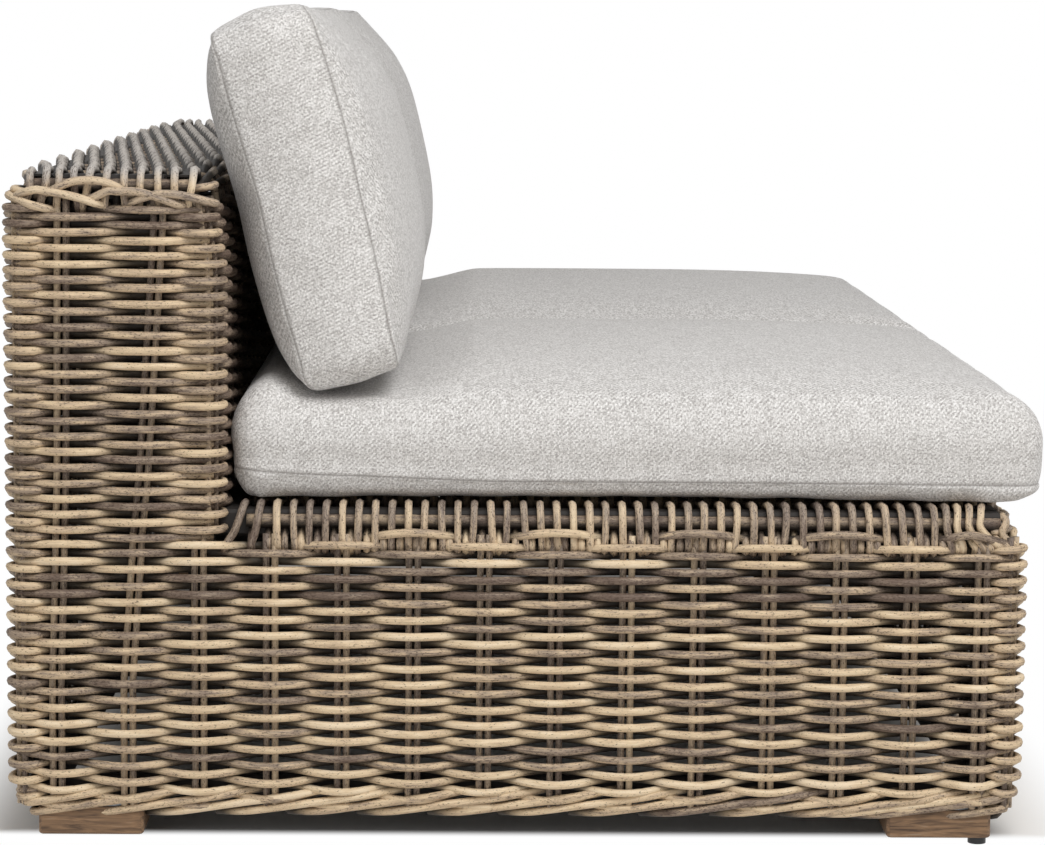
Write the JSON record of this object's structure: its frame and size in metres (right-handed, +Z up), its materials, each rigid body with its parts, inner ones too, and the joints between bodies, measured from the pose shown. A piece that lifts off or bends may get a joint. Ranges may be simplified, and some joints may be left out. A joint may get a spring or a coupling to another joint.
{
  "type": "garden sofa",
  "caption": "Armless two-seat woven garden sofa on a tube frame, with loose seat and back cushions and short wooden feet.",
  "frame": {"origin": "on the floor, in the middle of the sofa's outline with its cushions", "axes": "+X along the sofa's width to the right of someone who sits on it facing -Y, +Y from the seat's front to the back, +Z up"},
  "size_m": [1.48, 0.966, 0.7702],
  "materials": {
    "wicker_strand": "weathered grey-brown round strands, matt",
    "frame_tube": "dark powder coat",
    "weathered_teak": "open grain, weathered and unvarnished",
    "cushion_fabric": "light warm-grey mottled weave",
    "levelling_foot_plastic": "black moulded",
    "plated_steel": "zinc plated",
    "insert_brass": "plain turned"
  },
  "bodies": {
    "frame": {"back_weave_front": "wicker_strand", "back_weave_left": "wicker_strand", "back_weave_right": "wicker_strand", "base_cross_rail": "frame_tube", "base_rail_front": "frame_tube", "base_rail_left": "frame_tube", "base_rail_rear": "frame_tube", "base_rail_right": "frame_tube", "border_front": "wicker_strand", "border_left": "wicker_strand", "border_rear": "wicker_strand", "border_right": "wicker_strand", "deck_rods": "wicker_strand", "deck_strands": "wicker_strand", "end_rail_left": "frame_tube", "end_rail_right": "frame_tube", "foot_bolts": "plated_steel", "foot_front_left": "weathered_teak", "foot_front_right": "weathered_teak", "foot_plates": "plated_steel", "foot_rear_left": "weathered_teak", "foot_rear_right": "weathered_teak", "front_post_left": "frame_tube", "front_post_middle": "frame_tube", "front_post_right": "frame_tube", "glide_inserts": "insert_brass", "inner_post_left": "frame_tube", "inner_post_middle": "frame_tube", "inner_post_right": "frame_tube", "rear_post_left": "frame_tube", "rear_post_middle": "frame_tube", "rear_post_right": "frame_tube", "seat_bearer_left": "frame_tube", "seat_bearer_middle": "frame_tube", "seat_bearer_right": "frame_tube", "seat_rail_front": "frame_tube", "seat_rail_left": "frame_tube", "seat_rail_rear": "frame_tube", "seat_rail_right": "frame_tube", "top_rail_front": "frame_tube", "top_rail_rear": "frame_tube", "top_rods": "wicker_strand", "top_strands": "wicker_strand", "weave_front": "wicker_strand", "weave_left": "wicker_strand", "weave_rear": "wicker_strand", "weave_right": "wicker_strand"},
    "seat_cushion_left": {"seat_cushion_left": "cushion_fabric"},
    "seat_cushion_right": {"seat_cushion_right": "cushion_fabric"},
    "back_cushion_left": {"back_cushion_left": "cushion_fabric"},
    "back_cushion_right": {"back_cushion_right": "cushion_fabric"},
    "levelling_foot_front_left": {"glide_front_left": "levelling_foot_plastic"},
    "levelling_foot_front_right": {"glide_front_right": "levelling_foot_plastic"},
    "levelling_foot_rear_left": {"glide_rear_left": "levelling_foot_plastic"},
    "levelling_foot_rear_right": {"glide_rear_right": "levelling_foot_plastic"}
  },
  "joints": [
    {"name": "seat_cushion_left_lift", "type": "slide", "parent": "frame", "child": "seat_cushion_left", "axis": [0, 0, 1], "range_m": [0, 0.25]},
    {"name": "back_cushion_left_lift", "type": "slide", "parent": "seat_cushion_left", "child": "back_cushion_left", "axis": [0, 0, 1], "range_m": [0, 0.25]},
    {"name": "seat_cushion_right_lift", "type": "slide", "parent": "frame", "child": "seat_cushion_right", "axis": [0, 0, 1], "range_m": [0, 0.25]},
    {"name": "back_cushion_right_lift", "type": "slide", "parent": "seat_cushion_right", "child": "back_cushion_right", "axis": [0, 0, 1], "range_m": [0, 0.25]},
    {"name": "levelling_foot_front_left_out", "type": "slide", "parent": "frame", "child": "levelling_foot_front_left", "axis": [0, 0, -1], "range_m": [0, 0.01]},
    {"name": "levelling_foot_front_right_out", "type": "slide", "parent": "frame", "child": "levelling_foot_front_right", "axis": [0, 0, -1], "range_m": [0, 0.01]},
    {"name": "levelling_foot_rear_left_out", "type": "slide", "parent": "frame", "child": "levelling_foot_rear_left", "axis": [0, 0, -1], "range_m": [0, 0.01]},
    {"name": "levelling_foot_rear_right_out", "type": "slide", "parent": "frame", "child": "levelling_foot_rear_right", "axis": [0, 0, -1], "range_m": [0, 0.01]}
  ]
}
